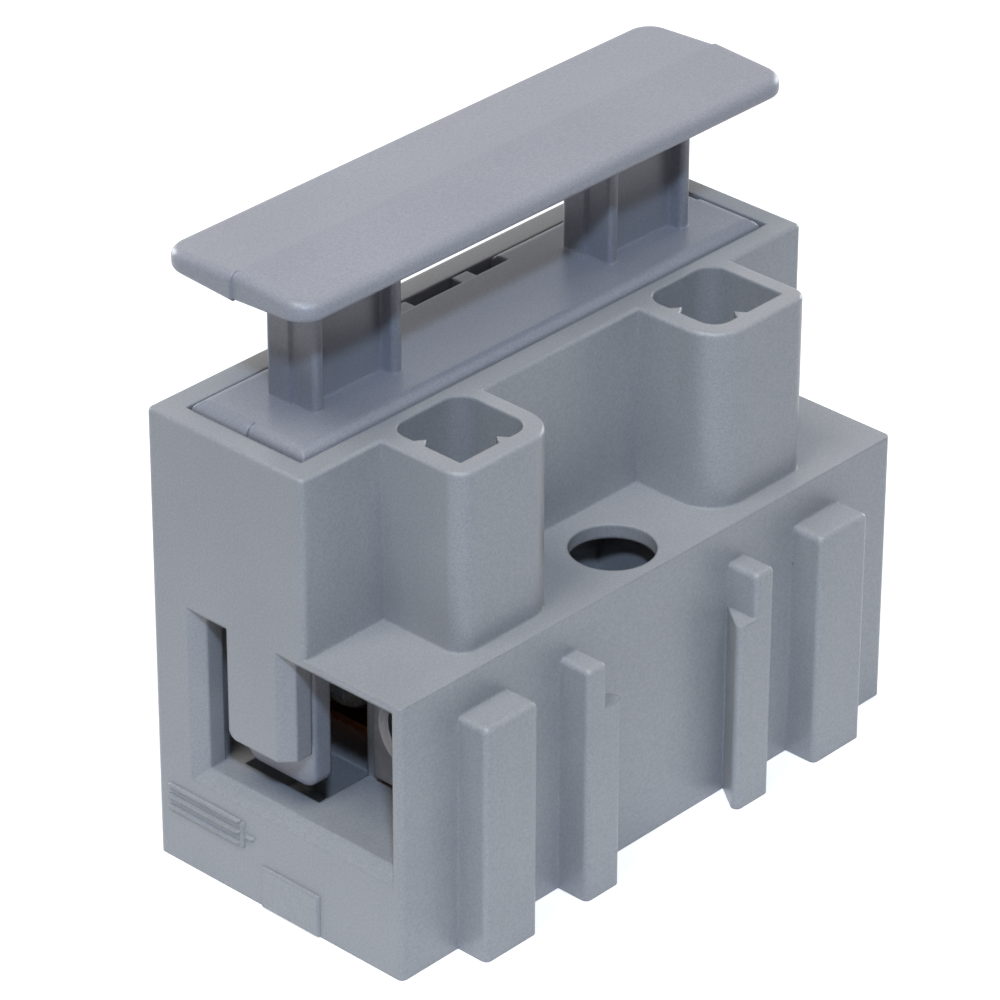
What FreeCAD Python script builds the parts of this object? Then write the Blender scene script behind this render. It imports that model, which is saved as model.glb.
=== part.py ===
import FreeCAD, Part
import math
import os
import re

import Sketcher
from FreeCAD import Vector

# Fused terminal block for a 5 x 20 mm glass fuse, with a pull-out fuse drawer.
# X runs along the block, -Y is the side with the keying ribs, +Z is up.
# The origin is the centre of the footprint, on the base.

# Driving sizes in millimetres: name, value, what it sets
SIZES = [
    ("body_length", 34.0, "housing, end face to end face"),
    ("body_depth", 15.9, "housing, front wall to back wall, without the ribs"),
    ("body_height", 24.0, "base to the top of the tower and of the screw chimneys"),
    ("ledge_height", 14.65, "base to the top of the low front part"),
    ("tower_setback", 6.0, "front wall to the front face of the tower"),
    ("wall", 1.2, "rim of the drawer opening, at its front and its ends"),
    ("rear_wall", 1.4, "rim of the drawer opening, at the back wall"),
    ("end_wall", 1.6, "end walls and the tab that hangs in each end window"),
    ("front_wall", 1.15, "front wall beside the terminal pockets"),
    ("ledge_plate", 0.95, "roof of the terminal pockets"),
    ("divider", 0.65, "wall between the fuse shaft and the terminal pockets"),
    ("edge_round", 0.3, "outer uprights at the ends of the housing"),
    ("rim_round", 0.2, "upper outer edge of the chimneys and the tower"),
    ("rib_depth", 1.8, "keying ribs in front of the front wall"),
    ("rib_top", 12.65, "base to the top of the keying ribs"),
    ("rib_round", 0.3, "outer edges of the keying ribs"),
    ("outer_rib_from", 9.85, "middle of the block to an outer rib"),
    ("outer_rib_width", 3.45, "width of an outer rib"),
    ("inner_rib_from", 5.2, "middle of the block to the root of an inner rib"),
    ("inner_rib_width", 1.3, "width of an inner rib at its root"),
    ("hook_reach", 1.3, "overhang of an inner rib's dovetail hook"),
    ("hook_top", 10.25, "base to the top of the dovetail hooks"),
    ("fixing_setback", 2.7, "front wall to the axis of the fixing hole"),
    ("fixing_diameter", 4.2, "clearance hole for a 4 mm fixing screw"),
    ("fixing_plate", 0.75, "plate under the head of the fixing screw"),
    ("fixing_cavity_half", 3.3, "half width of the hollow below the fixing hole"),
    ("screw_from_end", 8.4, "end face to a terminal screw"),
    ("screw_setback", 4.1, "front wall to the terminal screws"),
    ("chimney_width", 6.6, "screw chimney along the block"),
    ("chimney_setback", 1.1, "front wall to the front of a chimney"),
    ("chimney_wall", 0.95, "wall of a chimney"),
    ("chimney_inner_round", 1.9, "chimney corner nearest the middle of the block"),
    ("chimney_outer_round", 0.9, "chimney corner nearest the end of the block"),
    ("chimney_hole_round", 1.0, "corners of the screwdriver hole"),
    ("crush_rib", 0.5, "height of the ribs in the screwdriver hole"),
    ("crush_rib_half", 0.35, "half width of those ribs at their root"),
    ("crush_rib_offset", 0.5, "screw axis to the middle of those ribs"),
    ("crush_rib_length", 4.0, "length of those ribs"),
    ("pocket_end_gap", 0.75, "terminal body to the inner end of its pocket"),
    ("sill_height", 5.6, "base to the floor of the terminal pockets"),
    ("window_chamfer", 0.65, "lead-in around each end window"),
    ("window_from_back", 2.95, "back wall to the end window"),
    ("divider_setback", 5.2, "end face to the end of the divider"),
    ("tab_slot", 1.95, "tab that hangs in the end window to the rear edge of that window"),
    ("tab_bottom", 8.45, "base to the lower edge of the tab"),
    ("tab_round", 0.5, "lower rear corner of the tab"),
    ("pit_from_middle", 11.6, "middle of the block to the pit under a drawer leg"),
    ("pit_floor", 3.0, "base to the floor of those pits"),
    ("pit_end_gap", 0.4, "end wall to the pit"),
    ("pit_side_gap", 0.25, "drawer leg to the rear edge of the pit"),
    ("seat_depth", 1.3, "depth of the wider mouth that the drawer flange sits in"),
    ("strip_slot", 0.75, "height of the slot that the contact strip passes through"),
    ("strip_slot_gap", 0.3, "contact strip to each end of that slot"),
    ("flange_end_gap", 0.3, "drawer flange to the rim, at each end"),
    ("flange_side_gap", 0.15, "drawer flange to the rim, front and back"),
    ("flange_seat_gap", 0.05, "drawer flange to its seat"),
    ("flange_thickness", 1.6, "drawer flange"),
    ("flange_round", 0.6, "upper edge of the drawer flange"),
    ("notch_half", 4.3, "half length of the test notch in the flange's rear edge"),
    ("notch_depth", 1.1, "depth of the test notch"),
    ("notch_lug_from", 1.6, "middle of the block to a lug in the test notch"),
    ("notch_lug_width", 1.0, "width of a lug in the test notch"),
    ("notch_lug_drop", 0.35, "flange top to the top of a lug"),
    ("mould_shift", 0.15, "step along the drawer's mould parting plane"),
    ("post_from_middle", 7.0, "middle of the block to a handle post"),
    ("post_length", 5.7, "handle post along the block"),
    ("post_half_width", 1.5, "parting plane to the edge of a post flange"),
    ("post_flange", 0.65, "flanges of a handle post"),
    ("post_web_half", 0.7, "half thickness of the post's web"),
    ("post_round", 0.25, "edges of the post flanges"),
    ("handle_bottom", 30.95, "base to the underside of the handle"),
    ("handle_thickness", 1.4, "handle at its parting plane"),
    ("handle_half_length", 16.25, "half length of the handle"),
    ("handle_half_width", 4.5, "parting plane to the edge of the handle"),
    ("handle_top_fall", 0.25, "fall of the handle's top from the middle to its edge"),
    ("handle_bottom_rise", 0.25, "rise of the handle's underside to its edge"),
    ("handle_corner", 1.3, "corners of the handle seen from above"),
    ("handle_round", 0.45, "upper edge of the handle"),
    ("handle_under_round", 0.25, "lower edge of the handle"),
    ("leg_gap", 0.25, "drawer leg to the end wall"),
    ("leg_thickness", 1.1, "drawer leg"),
    ("leg_rear_gap", 2.7, "drawer leg to the rear wall of the shaft"),
    ("leg_bottom", 6.15, "base to the lower end of a drawer leg"),
    ("leg_round", 0.8, "lower corners of a drawer leg"),
    ("leg_side_round", 0.3, "upright outer edges of a drawer leg"),
    ("spine_half", 0.7, "half thickness of the drawer's spine"),
    ("spine_gap", 0.05, "spine to the fuse below it"),
    ("cradle_half_length", 3.4, "half length of the fuse cradle"),
    ("cradle_half_width", 3.2, "half width of the fuse cradle"),
    ("cradle_wrap", 1.25, "cradle fingers below the fuse axis"),
    ("cradle_roof", 1.6, "cradle above the glass"),
    ("stop_gap", 0.1, "fuse end to the stop on the spine"),
    ("stop_thickness", 0.9, "end stop for the fuse"),
    ("stop_half_width", 1.3, "half width of an end stop"),
    ("stop_bottom", 8.4, "base to the lower end of an end stop"),
    ("fuse_axis_height", 9.6, "base to the axis of the fuse"),
    ("fuse_length", 20.0, "fuse, cap face to cap face"),
    ("cap_diameter", 5.2, "fuse cap"),
    ("cap_length", 5.0, "fuse cap along the fuse"),
    ("cap_skin", 0.25, "sheet of a fuse cap"),
    ("cap_edge", 0.15, "bevel round the closed end of a fuse cap"),
    ("glass_gap", 0.03, "glass tube to the inside of a cap"),
    ("glass_wall", 0.6, "wall of the glass tube"),
    ("cradle_gap", 0.05, "cradle to the glass tube"),
    ("fuse_wire_diameter", 0.2, "melting wire inside the tube"),
    ("strip_thickness", 0.45, "sheet of the contact strip"),
    ("clip_gap", 0.05, "spring leaf to the fuse cap"),
    ("clip_width", 3.8, "spring leaf along the fuse"),
    ("clip_from_middle", 5.6, "middle of the block to a spring leaf"),
    ("clip_base_half", 2.1, "half width of the clip where its leaves rise"),
    ("clip_straight_from", 7.9, "base to the lower end of the straight leaf"),
    ("clip_straight_to", 11.6, "base to the upper end of the straight leaf"),
    ("clip_lip_rise", 1.1, "height of the flared lip"),
    ("clip_lip_flare", 0.5, "outward flare of the lip"),
    ("strip_front_gap", 0.6, "contact strip to the front wall"),
    ("strip_outer_reach", 2.9, "terminal screw axis to the outer edge of the strip"),
    ("strip_inner_reach", 2.5, "terminal screw axis to the inner edge of the strip"),
    ("terminal_length", 7.1, "terminal body along the block"),
    ("terminal_half_width", 2.35, "half width of the terminal body"),
    ("terminal_height", 6.95, "terminal body, without its spigot"),
    ("terminal_chamfer", 0.2, "long edges of the terminal body"),
    ("wire_bore_diameter", 3.4, "wire bore in the terminal body"),
    ("wire_bore_rise", 3.15, "underside of the terminal body to the wire bore's axis"),
    ("wire_bore_mouth", 0.3, "chamfer of the wire bore's mouth"),
    ("spigot_diameter", 1.8, "spigot that holds the contact strip"),
    ("spigot_gap", 0.05, "spigot to its hole in the strip"),
    ("thread_diameter", 3.0, "terminal screw thread"),
    ("thread_gap", 0.05, "screw to the threaded hole"),
    ("screw_head_diameter", 3.4, "head of the terminal screw"),
    ("screw_head_height", 2.1, "head of the terminal screw"),
    ("screw_shank", 5.6, "terminal screw below its head"),
    ("screw_tip", 0.4, "chamfer at the tip of the screw"),
    ("screw_slot_width", 0.7, "screwdriver slot"),
    ("screw_slot_depth", 1.0, "screwdriver slot"),
    ("guard_thickness", 0.35, "wire guard plate under the screw"),
    ("guard_half_width", 0.95, "half width of the wire guard"),
    ("guard_drop", 0.4, "top of the wire bore to the top of the guard"),
    ("guard_gap", 0.05, "wire guard to the terminal body and to the screw tip"),
    ("guard_hook_height", 1.9, "upturned inner end of the wire guard"),
]

# Places worked out from the sizes: name, formula
PLACES = [
    ("half_length", "body_length / 2"),
    ("front_y", "rib_depth - (body_depth + rib_depth) / 2"),
    ("rib_y", "front_y - rib_depth"),
    ("back_y", "front_y + body_depth"),
    ("tower_y", "front_y + tower_setback"),
    ("shaft_front", "tower_y + wall"),
    ("shaft_back", "back_y - rear_wall"),
    ("shaft_half", "half_length - end_wall"),
    ("mouth_half", "half_length - wall"),
    ("seat_z", "body_height - seat_depth"),
    ("drawer_y", "(shaft_front + shaft_back) / 2"),
    ("pocket_front", "front_y + front_wall"),
    ("pocket_back", "shaft_front - divider"),
    ("pocket_roof", "ledge_height - ledge_plate"),
    ("window_back", "back_y - window_from_back"),
    ("tab_back", "window_back - tab_slot"),
    ("fixing_y", "front_y + fixing_setback"),
    ("fixing_roof", "ledge_height - fixing_plate"),
    ("screw_from_middle", "half_length - screw_from_end"),
    ("screw_y", "front_y + screw_setback"),
    ("chimney_in", "screw_from_middle - chimney_width / 2"),
    ("chimney_out", "screw_from_middle + chimney_width / 2"),
    ("chimney_y", "front_y + chimney_setback"),
    ("hole_in", "chimney_in + chimney_wall"),
    ("hole_out", "chimney_out - chimney_wall"),
    ("hole_front", "chimney_y + chimney_wall"),
    ("hole_back", "pocket_back"),
    ("outer_rib_to", "outer_rib_from + outer_rib_width"),
    ("inner_rib_to", "inner_rib_from + inner_rib_width"),
    ("hook_tip", "inner_rib_from - hook_reach"),
    ("flange_half", "mouth_half - flange_end_gap"),
    ("flange_half_width", "(shaft_back - shaft_front) / 2 - flange_side_gap"),
    ("flange_bottom", "seat_z + flange_seat_gap"),
    ("flange_top", "flange_bottom + flange_thickness"),
    ("notch_half_width", "flange_half_width - notch_depth"),
    ("notch_lug_to", "notch_lug_from + notch_lug_width"),
    ("post_to", "post_from_middle + post_length"),
    ("post_web_from", "post_from_middle + post_flange"),
    ("post_web_to", "post_to - post_flange"),
    ("handle_top", "handle_bottom + handle_thickness"),
    ("handle_middle", "(handle_bottom + handle_top) / 2"),
    ("handle_edge_bottom", "handle_bottom + handle_bottom_rise"),
    ("handle_edge_top", "handle_top - handle_top_fall"),
    ("leg_out", "shaft_half - leg_gap"),
    ("leg_in", "leg_out - leg_thickness"),
    ("leg_front", "shaft_front + flange_side_gap"),
    ("leg_back", "shaft_back - leg_rear_gap"),
    ("pit_to", "shaft_half - pit_end_gap"),
    ("pit_back", "leg_back + pit_side_gap"),
    ("cap_radius", "cap_diameter / 2"),
    ("glass_radius", "cap_radius - cap_skin - glass_gap"),
    ("fuse_half", "fuse_length / 2"),
    ("fuse_top", "fuse_axis_height + cap_radius"),
    ("spine_bottom", "fuse_top + spine_gap"),
    ("cradle_radius", "glass_radius + cradle_gap"),
    ("cradle_bottom", "fuse_axis_height - cradle_wrap"),
    ("cradle_top", "fuse_axis_height + cradle_radius + cradle_roof"),
    ("stop_from", "fuse_half + stop_gap"),
    ("stop_to", "stop_from + stop_thickness"),
    ("strip_top", "sill_height + strip_thickness"),
    ("slot_top", "sill_height + strip_slot"),
    ("leaf_inside", "cap_radius + clip_gap"),
    ("leaf_outside", "leaf_inside + strip_thickness"),
    ("clip_to", "clip_from_middle + clip_width"),
    ("clip_foot_inside", "clip_base_half - strip_thickness"),
    ("lip_z", "clip_straight_to + clip_lip_rise"),
    ("lip_inside", "leaf_inside + clip_lip_flare"),
    ("lip_outside", "leaf_outside + clip_lip_flare"),
    ("strip_front", "pocket_front + strip_front_gap"),
    ("strip_in", "screw_from_middle - strip_inner_reach"),
    ("strip_out", "screw_from_middle + strip_outer_reach"),
    ("terminal_in", "screw_from_middle - terminal_length / 2"),
    ("terminal_out", "screw_from_middle + terminal_length / 2"),
    ("pocket_in", "terminal_in - pocket_end_gap"),
    ("terminal_front", "screw_y - terminal_half_width"),
    ("terminal_back", "screw_y + terminal_half_width"),
    ("terminal_top", "strip_top + terminal_height"),
    ("wire_z", "strip_top + wire_bore_rise"),
    ("guard_top", "wire_z + wire_bore_diameter / 2 - guard_drop"),
    ("guard_bottom", "guard_top - guard_thickness"),
    ("guard_hook_in", "terminal_in - guard_gap - guard_thickness"),
    ("guard_hook_out", "terminal_in - guard_gap"),
    ("guard_hook_top", "guard_bottom + guard_hook_height"),
    ("screw_tip_z", "guard_top + guard_gap"),
    ("screw_neck_z", "screw_tip_z + screw_tip"),
    ("screw_head_z", "screw_tip_z + screw_shank"),
    ("screw_top_z", "screw_head_z + screw_head_height"),
    ("screw_radius", "thread_diameter / 2 - thread_gap"),
]

SHEETS = {}
for name, value, note in SIZES:
    SHEETS[name] = "Sizes"
for name, rule in PLACES:
    SHEETS[name] = "Places"


def formula(text):
    """Spell each plain name in a formula as a cell of its sheet."""
    return re.sub(r"[a-z][a-z_]*", lambda word: SHEETS[word.group()] + "." + word.group(), text)


document = FreeCAD.newDocument("fuse_terminal_block")

sizes = document.addObject("Spreadsheet::Sheet", "Sizes")
for row, (name, value, note) in enumerate(SIZES, start=1):
    sizes.set(f"A{row}", name)
    sizes.set(f"B{row}", str(value))
    sizes.set(f"C{row}", note)
    sizes.setAlias(f"B{row}", name)

places = document.addObject("Spreadsheet::Sheet", "Places")
for row, (name, rule) in enumerate(PLACES, start=1):
    places.set(f"A{row}", name)
    places.setAlias(f"B{row}", name)
for row, (name, rule) in enumerate(PLACES, start=1):
    places.set(f"B{row}", "=" + formula(rule))
document.recompute()


def at(name):
    """The value of a size or a place, in millimetres."""
    return float(document.getObject(SHEETS[name]).get(name))


# Helpers for sketches and features

# How close two places must be to count as the same, in millimetres
NEAR = 0.01
# Formula of the middle plane of the block, and of the axis of a turned piece
MIDDLE = "0"


def new_body(label):
    body = document.addObject("PartDesign::Body", label)
    body.Label = label
    return body


def new_sketch(body, role, offset=None):
    """A sketch on one of the body's own origin planes, moved along its normal by a formula."""
    sketch = body.newObject("Sketcher::SketchObject", body.Name + "_sketch")
    plane = next(item for item in body.Origin.OriginFeatures if item.Role == role)
    sketch.AttachmentSupport = [(plane, "")]
    sketch.MapMode = "FlatFace"
    if offset:
        sketch.setExpression("AttachmentOffset.Base.z", formula(offset))
    return sketch


def pin(sketch, index, end, across, up):
    """Tie one point of a sketch to its two formulas."""
    for kind, rule in (("DistanceX", across), ("DistanceY", up)):
        number = sketch.addConstraint(Sketcher.Constraint(kind, -1, 1, index, end, 1.0))
        sketch.setExpression(f"Constraints[{number}]", formula(rule))


def outline(sketch, corners):
    """A closed polygon, each corner given as two formulas."""
    first = sketch.GeometryCount
    count = len(corners)
    turns = [2 * math.pi * step / count for step in range(count)]
    points = [Vector(math.cos(turn), math.sin(turn), 0) for turn in turns]
    for step in range(count):
        sketch.addGeometry(Part.LineSegment(points[step], points[(step + 1) % count]), False)
    for step in range(count):
        follower = first + (step + 1) % count
        sketch.addConstraint(Sketcher.Constraint("Coincident", first + step, 2, follower, 1))
    for step, (across, up) in enumerate(corners):
        pin(sketch, first + step, 1, across, up)


def rectangle(sketch, left, right, low, high):
    outline(sketch, [(left, low), (right, low), (right, high), (left, high)])


def circle(sketch, across, up, diameter):
    index = sketch.addGeometry(Part.Circle(Vector(0, 0, 0), Vector(0, 0, 1), 1), False)
    pin(sketch, index, 3, across, up)
    number = sketch.addConstraint(Sketcher.Constraint("Diameter", index, 2.0))
    sketch.setExpression(f"Constraints[{number}]", formula(diameter))


def mirrored(side, rule):
    """The same distance from the middle, on the given side of the block."""
    return rule if side > 0 else f"-({rule})"


def finish(body, feature, before, grows):
    """Compute a feature and make sure that it added or removed material."""
    body.Tip = feature
    document.recompute()
    change = feature.Shape.Volume - before
    if (change > 0) != grows or abs(change) < 1e-6:
        raise RuntimeError(f"{feature.Label} in {body.Label} changed nothing: {change}")
    return feature


def volume_of(body):
    return body.Tip.Shape.Volume if body.Tip and body.Tip.isDerivedFrom("PartDesign::Feature") else 0.0


def pad(body, sketch, length, symmetric=False):
    before = volume_of(body)
    feature = body.newObject("PartDesign::Pad", body.Name + "_pad")
    feature.Profile = sketch
    feature.SideType = "Symmetric" if symmetric else "One side"
    feature.setExpression("Length", formula(length))
    return finish(body, feature, before, True)


def pocket(body, sketch, length, along_normal=False, symmetric=False):
    before = volume_of(body)
    feature = body.newObject("PartDesign::Pocket", body.Name + "_pocket")
    feature.Profile = sketch
    feature.SideType = "Symmetric" if symmetric else "One side"
    feature.Reversed = along_normal
    feature.setExpression("Length", formula(length))
    return finish(body, feature, before, False)


def edges_where(shape, wanted):
    """Names of the shape's edges for which wanted(edge) is true."""
    return [f"Edge{number}" for number, edge in enumerate(shape.Edges, start=1) if wanted(edge)]


def dress(body, kind, size_name, amount, wanted):
    """Fillet or chamfer the edges of the body's tip that are wanted."""
    base = body.Tip
    feature = body.newObject("PartDesign::" + kind, body.Name + "_" + kind.lower())
    feature.Base = (base, edges_where(base.Shape, wanted))
    feature.setExpression(size_name, formula(amount))
    body.Tip = feature
    document.recompute()
    return feature


def fillet(body, radius, wanted):
    return dress(body, "Fillet", "Radius", radius, wanted)


def chamfer(body, size, wanted):
    return dress(body, "Chamfer", "Size", size, wanted)


def box_of(edge):
    return edge.BoundBox


def is_upright_at(edge, across, depth):
    """True for a vertical edge at the given X and Y."""
    box = box_of(edge)
    straight = box.XLength < NEAR and box.YLength < NEAR and box.ZLength > NEAR
    return straight and abs(box.XMin - across) < NEAR and abs(box.YMin - depth) < NEAR


# Housing: one moulding with a low front ledge and a tower for the drawer

def add_blocks(body):
    sketch = new_sketch(body, "XY_Plane")
    rectangle(sketch, "-half_length", "half_length", "front_y", "back_y")
    pad(body, sketch, "ledge_height")
    sketch = new_sketch(body, "XY_Plane")
    rectangle(sketch, "-half_length", "half_length", "tower_y", "back_y")
    pad(body, sketch, "body_height")


def add_chimneys(body):
    sketch = new_sketch(body, "XY_Plane")
    for side in (-1, 1):
        inner = mirrored(side, "chimney_in")
        outer = mirrored(side, "chimney_out")
        rectangle(sketch, inner, outer, "chimney_y", "shaft_front")
    pad(body, sketch, "body_height")
    for place, radius in (("chimney_in", "chimney_inner_round"), ("chimney_out", "chimney_outer_round")):
        fillet(body, radius, lambda edge: any(
            is_upright_at(edge, side * at(place), at("chimney_y")) for side in (-1, 1)))


def add_ribs(body):
    sketch = new_sketch(body, "XY_Plane")
    for side in (-1, 1):
        rectangle(sketch, mirrored(side, "outer_rib_from"), mirrored(side, "outer_rib_to"),
                  "rib_y", "pocket_front")
        rectangle(sketch, mirrored(side, "inner_rib_from"), mirrored(side, "inner_rib_to"),
                  "rib_y", "pocket_front")
    pad(body, sketch, "rib_top")
    sketch = new_sketch(body, "XY_Plane")
    for side in (-1, 1):
        outline(sketch, [(mirrored(side, "inner_rib_from"), "front_y"),
                         (mirrored(side, "hook_tip"), "rib_y"),
                         (mirrored(side, "inner_rib_to"), "rib_y"),
                         (mirrored(side, "inner_rib_to"), "front_y")])
    pad(body, sketch, "hook_top")

    def outer_edge(edge):
        """Front and side edges of the ribs' tops, and the uprights of their front faces."""
        box = box_of(edge)
        in_front = box.YMin < at("front_y") - NEAR and box.YMax < at("front_y") + NEAR
        on_top = box.ZMin > at("rib_top") - NEAR
        upright = box.ZLength > NEAR and abs(box.YMax - at("rib_y")) < NEAR
        return in_front and (on_top or upright)

    fillet(body, "rib_round", outer_edge)


def cut_fuse_shaft(body):
    sketch = new_sketch(body, "XY_Plane", "body_height")
    rectangle(sketch, "-shaft_half", "shaft_half", "shaft_front", "shaft_back")
    pocket(body, sketch, "body_height - sill_height")
    sketch = new_sketch(body, "XY_Plane", "body_height")
    rectangle(sketch, "-mouth_half", "mouth_half", "shaft_front", "shaft_back")
    pocket(body, sketch, "seat_depth")
    sketch = new_sketch(body, "XY_Plane", "sill_height")
    for side in (-1, 1):
        rectangle(sketch, mirrored(side, "pit_from_middle"), mirrored(side, "pit_to"),
                  "shaft_front", "pit_back")
    pocket(body, sketch, "sill_height - pit_floor")


def cut_terminal_pockets(body):
    for side in (-1, 1):
        face = mirrored(side, "half_length")
        sketch = new_sketch(body, "YZ_Plane", face)
        rectangle(sketch, "pocket_front", "pocket_back", "sill_height", "pocket_roof")
        pocket(body, sketch, "half_length - pocket_in", along_normal=side < 0)
        sketch = new_sketch(body, "YZ_Plane", mirrored(side, "shaft_half"))
        rectangle(sketch, "pocket_back", "shaft_front", "sill_height", "pocket_roof")
        pocket(body, sketch, "divider_setback - end_wall", along_normal=side < 0)
        sketch = new_sketch(body, "YZ_Plane", face)
        outline(sketch, [("pocket_back", "sill_height"), ("window_back", "sill_height"),
                         ("window_back", "pocket_roof"), ("tab_back", "pocket_roof"),
                         ("tab_back", "tab_bottom"), ("shaft_front", "tab_bottom"),
                         ("shaft_front", "pocket_roof"), ("pocket_back", "pocket_roof")])
        pocket(body, sketch, "end_wall", along_normal=side < 0)
    sketch = new_sketch(body, "XY_Plane", "slot_top")
    for side in (-1, 1):
        rectangle(sketch, mirrored(side, "clip_from_middle - strip_slot_gap"),
                  mirrored(side, "clip_to + strip_slot_gap"), "pocket_back", "shaft_front")
    pocket(body, sketch, "strip_slot")


def chamfer_windows(body):
    def lead_in(edge):
        box = box_of(edge)
        on_face = box.XLength < NEAR and abs(abs(box.XMin) - at("half_length")) < NEAR
        inside = box.YMin > at("front_y") + NEAR and box.YMax < at("back_y") - NEAR
        inside = inside and box.ZMin > NEAR and box.ZMax < at("pocket_roof") + NEAR
        tab_rear = box.YLength < NEAR and abs(box.YMin - at("tab_back")) < NEAR
        tab_low = box.ZLength < NEAR and abs(box.ZMin - at("tab_bottom")) < NEAR
        return on_face and inside and not tab_rear and not tab_low

    chamfer(body, "window_chamfer", lead_in)

    def tab_corner(edge):
        box = box_of(edge)
        across = box.YLength < NEAR and box.ZLength < NEAR
        return across and abs(box.YMin - at("tab_back")) < NEAR and abs(box.ZMin - at("tab_bottom")) < NEAR

    fillet(body, "tab_round", tab_corner)


def cut_screwdriver_holes(body):
    sketch = new_sketch(body, "XY_Plane", "body_height")
    for side in (-1, 1):
        rectangle(sketch, mirrored(side, "hole_in"), mirrored(side, "hole_out"), "hole_front", "hole_back")
    pocket(body, sketch, "body_height - pocket_roof")

    def rounded_corner(edge):
        for side in (-1, 1):
            for place, depth in (("hole_in", "hole_front"), ("hole_in", "hole_back"), ("hole_out", "hole_back")):
                if is_upright_at(edge, side * at(place), at(depth)):
                    return True
        return False

    fillet(body, "chimney_hole_round", rounded_corner)


def add_crush_ribs(body):
    """Two small ribs that steady the blade, on the front wall and the left wall of each hole."""
    sketch = new_sketch(body, "XY_Plane", "body_height - crush_rib_length")
    for side in (-1, 1):
        middle = mirrored(side, "screw_from_middle - crush_rib_offset")
        outline(sketch, [(middle + " - crush_rib_half", "hole_front - chimney_wall / 2"),
                         (middle + " + crush_rib_half", "hole_front - chimney_wall / 2"),
                         (middle + " + crush_rib_half", "hole_front"),
                         (middle, "hole_front + crush_rib"),
                         (middle + " - crush_rib_half", "hole_front")])
        wall_face = mirrored(side, "hole_out" if side < 0 else "hole_in")
        middle = "screw_y + crush_rib_offset"
        outline(sketch, [(wall_face + " - chimney_wall / 2", middle + " - crush_rib_half"),
                         (wall_face, middle + " - crush_rib_half"),
                         (wall_face + " + crush_rib", middle),
                         (wall_face, middle + " + crush_rib_half"),
                         (wall_face + " - chimney_wall / 2", middle + " + crush_rib_half")])
    pad(body, sketch, "crush_rib_length")


def cut_fixing_hole(body):
    sketch = new_sketch(body, "XY_Plane")
    rectangle(sketch, "-fixing_cavity_half", "fixing_cavity_half", "pocket_front", "pocket_back")
    pocket(body, sketch, "fixing_roof", along_normal=True)
    sketch = new_sketch(body, "XY_Plane", "ledge_height")
    circle(sketch, MIDDLE, "fixing_y", "fixing_diameter")
    pocket(body, sketch, "fixing_plate")


def round_housing(body):
    """Soften the uprights at the ends and the upper rim."""
    def outer_upright(edge):
        box = box_of(edge)
        at_end = abs(abs(box.XMin) - at("half_length")) < NEAR and box.XLength < NEAR
        upright = box.YLength < NEAR and box.ZLength > NEAR
        at_corner = min(abs(box.YMin - at(place)) for place in ("front_y", "tower_y", "back_y")) < NEAR
        return at_end and upright and at_corner

    fillet(body, "edge_round", outer_upright)

    def upper_rim(edge):
        box = box_of(edge)
        level = box.ZLength < NEAR and abs(box.ZMin - at("body_height")) < NEAR
        around_mouth = box.YMax < at("shaft_back") + NEAR and box.YMin > at("pocket_back") - NEAR
        around_mouth = around_mouth and abs(box.XMin) < at("mouth_half") + NEAR
        in_hole = box.YMin > at("chimney_y") + NEAR and box.YMax < at("pocket_back") + NEAR
        in_hole = in_hole and min(abs(box.XMin), abs(box.XMax)) > at("hole_in") - NEAR
        in_hole = in_hole and max(abs(box.XMin), abs(box.XMax)) < at("hole_out") + NEAR
        return level and not around_mouth and not in_hole

    fillet(body, "rim_round", upper_rim)


def make_housing():
    body = new_body("housing")
    add_blocks(body)
    add_chimneys(body)
    add_ribs(body)
    cut_fuse_shaft(body)
    cut_terminal_pockets(body)
    chamfer_windows(body)
    cut_screwdriver_holes(body)
    add_crush_ribs(body)
    cut_fixing_hole(body)
    round_housing(body)
    return body


# Fuse drawer: handle, posts and flange in two mould halves, and the frame below

def add_post_halves(body, side):
    sign = "+" if side > 0 else "-"
    edge_y = f"drawer_y {sign} post_half_width"
    web_y = f"drawer_y {sign} post_web_half"
    sketch = new_sketch(body, "XY_Plane", "flange_top - flange_round")
    for end in (-1, 1):
        outline(sketch, [(mirrored(end, "post_from_middle"), "drawer_y"),
                         (mirrored(end, "post_from_middle"), edge_y),
                         (mirrored(end, "post_web_from"), edge_y),
                         (mirrored(end, "post_web_from"), web_y),
                         (mirrored(end, "post_web_to"), web_y),
                         (mirrored(end, "post_web_to"), edge_y),
                         (mirrored(end, "post_to"), edge_y),
                         (mirrored(end, "post_to"), "drawer_y")])
    pad(body, sketch, "handle_middle - flange_top + flange_round")
    rim = at("drawer_y") + side * at("post_half_width")
    marks = [end * at(place) for end in (-1, 1)
             for place in ("post_from_middle", "post_web_from", "post_web_to", "post_to")]
    fillet(body, "post_round", lambda edge: any(is_upright_at(edge, mark, rim) for mark in marks))


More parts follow.
